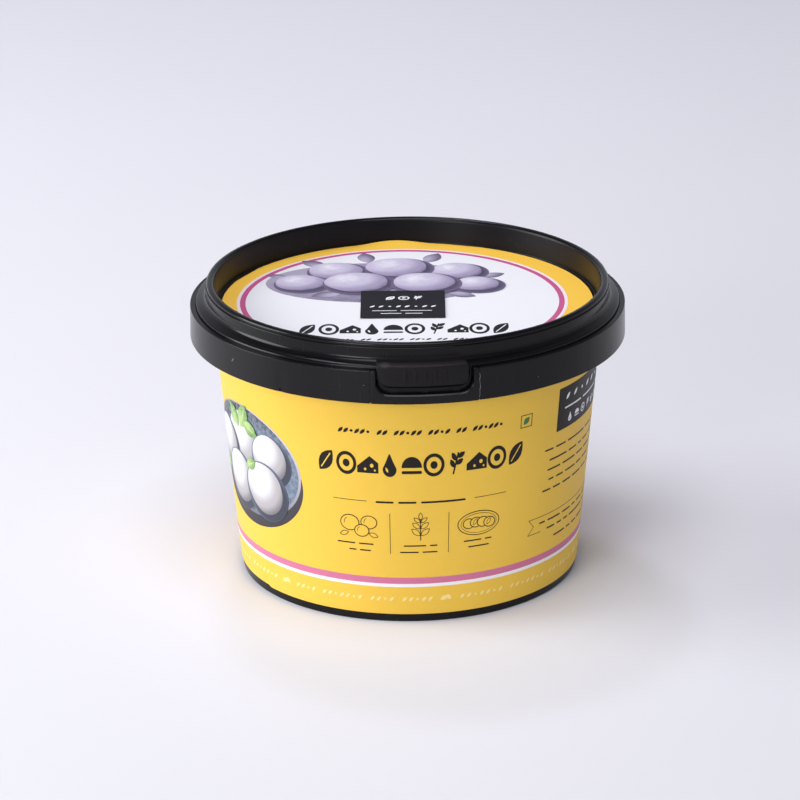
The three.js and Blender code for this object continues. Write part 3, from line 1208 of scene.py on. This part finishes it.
front = {
    "middle": 4.2,  # degrees
    "slogan": (-21.9, 21.5, 55.95, 2.0),
    "title": (-28.6, 28.6, 46.45, 5.5),
    "titleStretch": 1.22,
    "mark": (28.65, 55.05, 3.7, 0.2),
    "markLeaf": (2.59, 1.48),
    "subLine": (-12.5, 35.6, (4, 4, 10), (1.2, 0.6)),
    "rules": (((-24.2, 35.7), (-14.9, 35.7)), ((14.0, 35.7), (23.3, 35.7)), ((-8.8, 20.4), (-8.8, 32.3)),
              ((7.0, 20.4), (7.0, 32.3))),
    "hairline": 0.16,
    "icons": (-17.4, -0.6, 15.5),
    "iconHeight": 28.3,
    "iconStroke": 0.25,
    "balls": ((2.9, 1.1, 4.6), (-2.4, 0.7, 5.4), (0.9, -1.4, 4.2)),  # across, up and size
    "ballTall": 0.88,
    "glint": (120, 70, 0.27, 0.15),  # start, sweep, share of the ball's size, and stroke
    "ballLeaf": (2.8, 1.3, 0.17),  # of every leaf: length, width and stroke
    "ballLeafPlace": (4.1, -2.6, -20),  # across, up and turn of the right one
    "stem": (-3.9, 2.4),
    "topLeaf": (2.4, 1.1, 0.17),
    "topLeafUp": 3.2,
    "petals": ((-2.5, 3.2), (-0.5, 2.9), (1.3, 2.4)),  # up and size
    "petalWide": 0.45,
    "petalTurn": 50,
    "dish": ((12.2, 7.2, 0.25), (10.4, 5.8, 0.14)),
    "dishUp": -0.2,
    "slices": ((-2.9, 0.1), (-0.9, 0.3), (1.1, 0.2), (3.0, -0.1)),
    "slice": (3.5, 3.1),
    "sliceLeaf": (2.2, 0.9, 0.15),
    "sliceLeafPlace": (-0.2, 60),  # across and turn
    # Under each icon, two lines: across, height and groups
    "captions": (((-6.2, 23.0, (5, 4)), (-2.9, 21.1, (2, 3))),
                 ((-4.6, 22.8, (6, 2)), (-5.6, 20.9, (5, 4))),
                 ((-4.2, 23.1, (5, 2)), (-2.9, 21.3, (6,)))),
    "captionLetter": (1.02, 0.4),
}


def frontPanel(bm, dark, green, ground):
    middle = aroundLabel(front["middle"])
    braidRow(bm, sloganGroups, front["slogan"], dark, middle)
    motifRow(bm, titleRow, front["title"], dark, ground, middle, stretch=front["titleStretch"])

    x, y, size, stroke = front["mark"]
    lay(bm, hollow(bm, bar(bm, size, size), stroke), middle + x, y, dark)
    lay(bm, leaf(bm, *front["markLeaf"]), middle + x, y, green, turn=braidSlant)

    x, y, groups, letter = front["subLine"]
    barRow(bm, groups, middle + x, y, letter, dark)
    for ends in front["rules"]:
        strokeLine(bm, [(middle + x, y) for x, y in ends], front["hairline"], dark)

    # Three drawn icons: balls with leaves, a sprig, and slices on a dish
    y, stroke = front["iconHeight"], front["iconStroke"]
    left, centre, right = [middle + x for x in front["icons"]]
    start, sweep, share, width = front["glint"]
    for index, (x, up, size) in enumerate(front["balls"]):
        outlined(bm, left + x, y + up, size, size * front["ballTall"], stroke, dark, ground, 2 * index)
        glint = arcBand(bm, size * share, size * share + width, start, sweep, 6)
        lay(bm, glint, left + x, y + up, dark, 2 * index + 2)
    x, up, turn = front["ballLeafPlace"]
    for way in (-1, 1):
        lay(bm, leafOutline(bm, *front["ballLeaf"]), left + way * x, y + up, dark, turn=way * turn)

    strokeLine(bm, [(centre, y + up) for up in front["stem"]], stroke, dark)
    lay(bm, leafOutline(bm, *front["topLeaf"]), centre, y + front["topLeafUp"], dark, turn=90)
    for way in (-1, 1):
        for up, size in front["petals"]:
            petal = leafOutline(bm, size, size * front["petalWide"], front["topLeaf"][2])
            lay(bm, moved(bm, petal, size / 2), centre, y + up, dark, turn=90 - way * front["petalTurn"])

    dish = y + front["dishUp"]
    for index, (width, height, line) in enumerate(front["dish"]):
        outlined(bm, right, dish, width, height, line, dark, ground, 2 * index, 40)
    aside, turn = front["sliceLeafPlace"]
    for index, (x, up) in enumerate(front["slices"]):
        level = 4 + 2 * index
        outlined(bm, right + x, dish + up, *front["slice"], stroke, dark, ground, level)
        if index % 2:
            sliceLeaf = leafOutline(bm, *front["sliceLeaf"])
            lay(bm, sliceLeaf, right + x + aside, y + up, dark, level + 2, turn)
    for icon, lines in zip((left, centre, right), front["captions"]):
        for x, y, groups in lines:
            barRow(bm, groups, icon + x, y, front["captionLetter"], dark)


side = {
    "middle": 73,
    "block": (-19.1, 19.9, 48.4, 60.8),
    "blockBraid": (-16.9, 17.7, 57.8, 2.3),
    "blockLine": (-16.1, 54.5, (7, 9, 6), (1.25, 0.5)),
    "blockMotifs": (-15.1, 15.9, 51.2, 2.6),
    # Height, where it begins in degrees, and groups
    "lines": ((44.1, 46.1, (3, 4, 9, 5, 6, 8)), (40.9, 48.5, (7, 4, 2, 4, 6, 7)),
              (38.1, 47.9, (5, 6, 4, 5, 9)), (35.2, 48.7, (2, 3, 5, 3, 5, 4, 6)),
              (32.2, 46.2, (3, 3, 4, 5, 4, 7))),
    "letter": (1.14, 0.52),
    "ribbonStart": 41,
    "ribbon": ((50, 24.8), (0, 24.8), (2, 22.55), (0, 20.3), (5, 20.3)),
    "ribbonStroke": 0.15,
    "ribbonLines": ((22.9, 45.9, (2, 5, 4, 2, 4, 4, 6)), (20.5, 49.9, (3, 2, 2, 9, 5)),
                    (17.3, 54, (5, 2, 3, 5, 5))),
    "ribbonLetter": (1.2, 0.52),
}


def sidePanel(bm, dark, white):
    middle = aroundLabel(side["middle"])
    panelBlock(bm, side["block"], middle, dark)
    braidRow(bm, (9,), side["blockBraid"], white, middle, 1)
    x, y, groups, letter = side["blockLine"]
    barRow(bm, groups, middle + x, y, letter, white, 1)
    order = ("drop", "slice", "ball", "sprig", "drop", "wedge", "leaf", "ball")
    motifRow(bm, order, side["blockMotifs"], white, dark, middle, 1)
    for lines, letter in (("lines", "letter"), ("ribbonLines", "ribbonLetter")):
        for height, start, groups in side[lines]:
            barRow(bm, groups, aroundLabel(start), height, side[letter], dark)
    left = aroundLabel(side["ribbonStart"])
    corners = [(left + x, y) for x, y in side["ribbon"]]
    for ends in zip(corners, corners[1:]):
        strokeLine(bm, ends, side["ribbonStroke"], dark)


back = {
    "tableMiddle": 134,
    "table": (38, 38, 40, 0.25),  # height of its middle, width, height and stroke
    "tableHead": (-15, 54.6, (9, 6), (1.7, 1.4)),
    "tableRows": ((4, 3), (9, 4), (7, 5), (5, 3), (10, 4), (8, 5), (6, 3), (4, 4)),
    "tableTop": 51.4,
    "tableRule": (-18.8, 18.8),
    "tableColumns": (-17, 10.5),
    "tableLetter": (1.05, 0.52),
    "rowHeight": 3.9,
    "rowDrop": 2,  # of the letters under their rule
    "barsMiddle": -134,
    "motifs": (-13, 13, 60.5, 4.4),
    "lines": ((6, 3, 8, 5, 4), (4, 7, 2, 6, 7), (8, 5, 4, 9), (3, 6, 7, 2, 8), (5, 9, 3, 6), (7, 4, 6)),
    "lineStart": (-17, 54, 2.9),  # across, height of the first and pitch
    "letter": (1.15, 0.52),
    "barPatch": (-15, 15, 17, 34),
    "bars": 25,
    "barsStart": -12.6,
    "barsTop": 32.25,
    "barTall": (11.5, 13),
    "barWidth": (0.28, 0.24),  # the least, and what each step adds
    "barGap": (0.22, 0.16),
}


def backPanels(bm, dark, white, ground):
    middle = aroundLabel(back["tableMiddle"])
    y, width, height, stroke = back["table"]
    lay(bm, hollow(bm, bar(bm, width, height), stroke), middle, y, dark)
    x, y, groups, letter = back["tableHead"]
    barRow(bm, groups, middle + x, y, letter, dark)
    for index, row in enumerate(back["tableRows"]):
        height = back["tableTop"] - index * back["rowHeight"]
        strokeLine(bm, [(middle + x, height) for x in back["tableRule"]], front["hairline"], dark)
        for x, groups in zip(back["tableColumns"], (row, (2 + index % 2, 2))):
            barRow(bm, groups, middle + x, height - back["rowDrop"], back["tableLetter"], dark)

    middle = aroundLabel(back["barsMiddle"])
    motifRow(bm, ("leaf", "ball", "slice", "ball", "leaf"), back["motifs"], dark, ground, middle)
    x, y, pitch = back["lineStart"]
    for index, groups in enumerate(back["lines"]):
        barRow(bm, groups, middle + x, y - index * pitch, back["letter"], dark)
    panelBlock(bm, back["barPatch"], middle, white)
    x = middle + back["barsStart"]
    thin, thicker = back["barWidth"]
    gap, wider = back["barGap"]
    for index in range(back["bars"]):
        width = thin + thicker * (index * 7 % 4)
        tall = back["barTall"][index % (back["bars"] - 1) == 0]
        lay(bm, bar(bm, width, tall), x + width / 2, back["barsTop"] - tall / 2, dark, 1)
        x += width + gap + wider * (index * 5 % 3)


band = {
    "height": 6.9,
    "size": 1.72,
    "start": -44.75,  # degrees, where a phrase begins
    "phrases": ((56.65, 4.15, (4, 7, 4, 5)), (61.2, 4.3, (7, 7, 7))),  # length, gap and groups
    "leaves": ((-0.6, 0, 2.3, 1.2, 24), (0.7, 0.2, 1.9, 1.0, 130)),  # across, up, length, width and turn
    "cutShare": 0.66,  # of a phrase that meets the seam
}


def bandPhrases(bm, pale):
    period = sum(length for length, gap, groups in band["phrases"])
    for lap in (-1, 0, 1):
        at = band["start"] + lap * period
        for length, gap, groups in band["phrases"]:
            for x, up, long, wide, turn in band["leaves"]:
                lay(bm, leaf(bm, long, wide), aroundLabel(at) + x, band["height"] + up, pale, turn=turn)
            if at + length > wrap["seam"]:
                groups = groups[:-1]
                length *= band["cutShare"]
            row = (aroundLabel(at + gap), aroundLabel(at + length - gap), band["height"], band["size"])
            braidRow(bm, groups, row, pale)
            at += length


def makeWrapPrint(materials):
    dark, white, pale, green, ground = range(5)
    bm = bmesh.new()
    frontPanel(bm, dark, green, ground)
    sidePanel(bm, dark, white)
    backPanels(bm, dark, white, ground)
    bandPhrases(bm, pale)
    wrapInk(bm)
    writePiece(bm, "wrap_label_print", materials)


def heapRounds(bm, picture, x, y, shadow, light):
    # Each round lies on its own soft shadow, over the rounds before it.
    wide, tall, aside, down, sides = picture["shadow"]
    squash, wobble, phase = picture["roundShape"]
    for index, (across, up, size) in enumerate(picture["rounds"]):
        level = picture["roundsLevel"] + 2 * index
        under = disc(bm, size * wide, size * tall, sides)
        paint(bm, under, x + across + aside, y + up - down, shadow, level)
        upper = blob(bm, size, size * squash, wobble, phase * index)
        paint(bm, upper, x + across, y + up, light, level + 1)


platter = {
    "middle": -60.5,
    "height": 38.6,
    "width": 45,
    "tall": 32,
    "discs": ((0, 1, -2.6), (1, 0.98, 0.2), (2, 0.945, 0.4)),  # ink, share of the size and how far up
    "rounds": ((-1.8, 5.6, 16.4), (-13.4, 1.6, 15), (10.6, 3.6, 13.6), (-5.8, -6.6, 15.6),
               (7.4, -6.2, 15.6)),  # across, up and size
    "roundsLevel": 3,
    "shadow": (1.18, 1.1, 0.6, 0.8, 36),  # shares of the round's size, how far aside and down, and sides
    "roundShape": (0.95, 0.012, 1),  # share of its height, unevenness, and the turn from one to the next
    "leaves": ((-5.4, 11.6, 128, 7.6), (0.2, 12.6, 62, 8.2), (3.4, 9.8, -18, 6.8), (2.2, -0.6, 28, 5.6),
               (-16.6, -6.4, 232, 6.0)),  # across, up, turn and length
    "leavesLevel": 14,
    "leafWide": 0.56,
    "vein": (0.86, 0.05),  # shares of the leaf's length
}


def makeWrapPicture(inks):
    # An oval platter from above: white rounds on a mottled blue glaze, with green leaves.
    names = ["platterSlate", "platterRim", "platterGlaze", "roundShadow", "whiteRound", "greenLeaf",
             "leafVein"]
    shadow, white, green, vein = range(3, 7)
    x, y = aroundLabel(platter["middle"]), platter["height"]
    bm = bmesh.new()
    for ink, share, up in platter["discs"]:
        oval = disc(bm, platter["width"] * share, platter["tall"] * share, sides=72)
        paint(bm, oval, x, y + up, ink, ink)
    heapRounds(bm, platter, x, y, shadow, white)
    long, thin = platter["vein"]
    for index, (across, up, turn, size) in enumerate(platter["leaves"]):
        level = platter["leavesLevel"] + 2 * (index % 3)
        paint(bm, leaf(bm, size, size * platter["leafWide"]), x + across, y + up, green, level, turn)
        paint(bm, leaf(bm, size * long, size * thin), x + across, y + up, vein, level + 1, turn)
    wrapInk(bm)
    writePiece(bm, "wrap_label_picture", [inks[name] for name in names])


lidPrint = {
    "middle": -1.4,
    "sides": 160,
    "whiteRadius": 45.0,
    "ring": (42.6, 44.1),
    "outline": (44.25, 45.0),
    "block": (-12.7, 10.2, -15.0, 7.5),
    "blockLevel": 24,
    "title": (-29.6, 27.7, -23.3, 5.5),
    "titleStretch": 1.6,
    "slogan": (-22.6, 20.7, -31.6, 2.0),
    "blockMotifs": (-6.5, 4.5, 1.2, 3.2),
    "blockBraid": (-10.7, 8.2, -5.7, 2.0),
    "blockLines": ((-9.5, -9.2, (7, 9)), (-7.3, -11.5, (6, 5))),
    "letter": (0.95, 0.45),
}


def makeLidPrint(materials):
    white, magenta, dark, blush = range(4)
    middle, sides, level = lidPrint["middle"], lidPrint["sides"], lidPrint["blockLevel"]
    bm = bmesh.new()
    lay(bm, disc(bm, 2 * lidPrint["whiteRadius"], sides=sides), middle, 0, white)
    for ring, ink in (("ring", magenta), ("outline", blush)):
        lay(bm, arcBand(bm, *lidPrint[ring], 0, 360, sides), middle, 0, ink, 1)
    panelBlock(bm, lidPrint["block"], 0, dark, level)
    motifRow(bm, ("leaf", "ball", "sprig"), lidPrint["blockMotifs"], white, dark, level=level + 1)
    braidRow(bm, (8,), lidPrint["blockBraid"], white, level=level + 1)
    for x, y, groups in lidPrint["blockLines"]:
        barRow(bm, groups, x, y, lidPrint["letter"], white, level + 1)
    motifRow(bm, titleRow, lidPrint["title"], dark, white, level=1, stretch=lidPrint["titleStretch"])
    braidRow(bm, sloganGroups, lidPrint["slogan"], dark, level=1)
    settleOnLid(bm)
    writePiece(bm, "lid_label_print", materials)


lidPicture = {
    "board": (-8, 15.5, 62, 34),
    "roundsLevel": 6,
    "shadow": (1.16, 1.08, 0.8, 1.4, 40),
    "roundShape": (0.93, 0.02, 2),
    "rounds": ((-20, 26, 15), (13.5, 25, 14.5), (-3, 28.5, 17), (-29.5, 15.5, 14), (19, 13.5, 12.5),
               (-14, 15.5, 17.5), (4.5, 15, 17)),
    "leaves": ((-26, 32, 140, 9), (-11.5, 37, 100, 9), (7, 36.5, 66, 9), (23.5, 21, 24, 7.5),
               (-36, 21.5, 160, 6), (-22, 5.5, 200, 9), (15, 4.5, -22, 8)),
    "leafWide": 0.5,
}


def makeLidPicture(inks):
    # In lavender greys: soft rounds heaped on an oval board, with leaves at its edge.
    names = ["lavenderBoard", "lavenderShadow", "lavenderRound", "lavenderLeaf"]
    board, shadow, pale, grey = range(4)
    bm = bmesh.new()
    x, y, width, tall = lidPicture["board"]
    paint(bm, disc(bm, width, tall, sides=56), x, y, board, 2)
    for index, (x, y, turn, size) in enumerate(lidPicture["leaves"]):
        paint(bm, leaf(bm, size, size * lidPicture["leafWide"]), x, y, grey, 4 + index % 2, turn)
    heapRounds(bm, lidPicture, 0, 0, shadow, pale)
    settleOnLid(bm)
    writePiece(bm, "lid_label_picture", [inks[name] for name in names])


table = {
    "radius": 4000,
    "near": (0.722, 0.717, 0.736),
    "nearCloud": (0.742, 0.737, 0.754),
    "cloudSize": 160,
    "foot": (0.728, 0.738, 0.795),  # painted shade: cooler round the tub, in metres from its axis
    "paintedShadeReach": (0.07, 0.2),
    # Painted light: the paler colour the table grows towards
    "far": (0.95, 0.94, 0.985),
    "paintedLightWay": (-0.3, 1, 0),  # painted light: the way it grows paler, and over which metres
    "paintedLightSpan": (-0.2, 0.65),
    "gloss": (0.55, 0.65),
}


def makeTable():
    bm = bmesh.new()
    bmesh.ops.create_circle(bm, cap_ends=True, segments=96, radius=table["radius"])
    material, tree, shader = newMaterial("paleTable")
    place = objectCoordinates(tree)
    cloud = noise(tree, place, table["cloudSize"])
    near = blend(tree, cloud, table["near"], table["nearCloud"])
    # Painted shade: the floor is tinted cooler near the tub's foot.
    paintedShadeByTub = spread(tree, lengthOf(tree, place), table["paintedShadeReach"], (1, 0))
    foot = blend(tree, paintedShadeByTub, near, table["foot"])
    # Painted light: the floor grows paler towards the back and the left.
    inputs = {0: place, 1: table["paintedLightWay"]}
    away = addNode(tree, "ShaderNodeVectorMath", inputs, operation="DOT_PRODUCT").outputs["Value"]
    paintedLightSpan = spread(tree, away, table["paintedLightSpan"])
    plug(tree, shader.inputs["Base Color"], blend(tree, paintedLightSpan, foot, table["far"]))
    plug(tree, shader.inputs["Roughness"], spread(tree, cloud, patchy, table["gloss"]))
    tableTop = addObject("table", meshFrom(bm, "table"))
    tableTop.data.materials.append(material)


# Assembly

makeCamera()
makeLights()
makeTable()
print("camera, lights and table set")

plastic = {name: mouldedPlastic(name + "Plastic", values) for name, values in plastics.items()}
makeTubWall(plastic["tub"])
makeCollar(plastic["tub"])
makeTearStrip(plastic["tub"])
makeMarks(plastic["stress"], plastic["shade"])
print("tub made")

makeLid(plastic["lid"], plastic["recess"])
makeTab(plastic["tab"])
print("lid made")

wrapFilm = {name: printedFilm(name + "Film", inks[name], films["wrap"])
            for name in ("yellow", "white", "pink", "dark", "pale", "green")}
lidFilm = {name: printedFilm(name + "LidFilm", inks[name], films["lid"])
           for name in ("lidYellow", "lidWhite", "magenta", "slate", "blush")}
makeWrapLabel(wrapFilm["yellow"], wrapFilm["white"], wrapFilm["pink"])
makeLidLabel(lidFilm["lidYellow"])
print("labels made")

pictureFilm = {name: pictureInk(name, **values) for name, values in pictureInks.items()}
makeWrapPrint([wrapFilm[name] for name in ("dark", "white", "pale", "green", "yellow")])
makeWrapPicture(pictureFilm)
makeLidPrint([lidFilm[name] for name in ("lidWhite", "magenta", "slate", "blush")])
makeLidPicture(pictureFilm)
print("print laid")
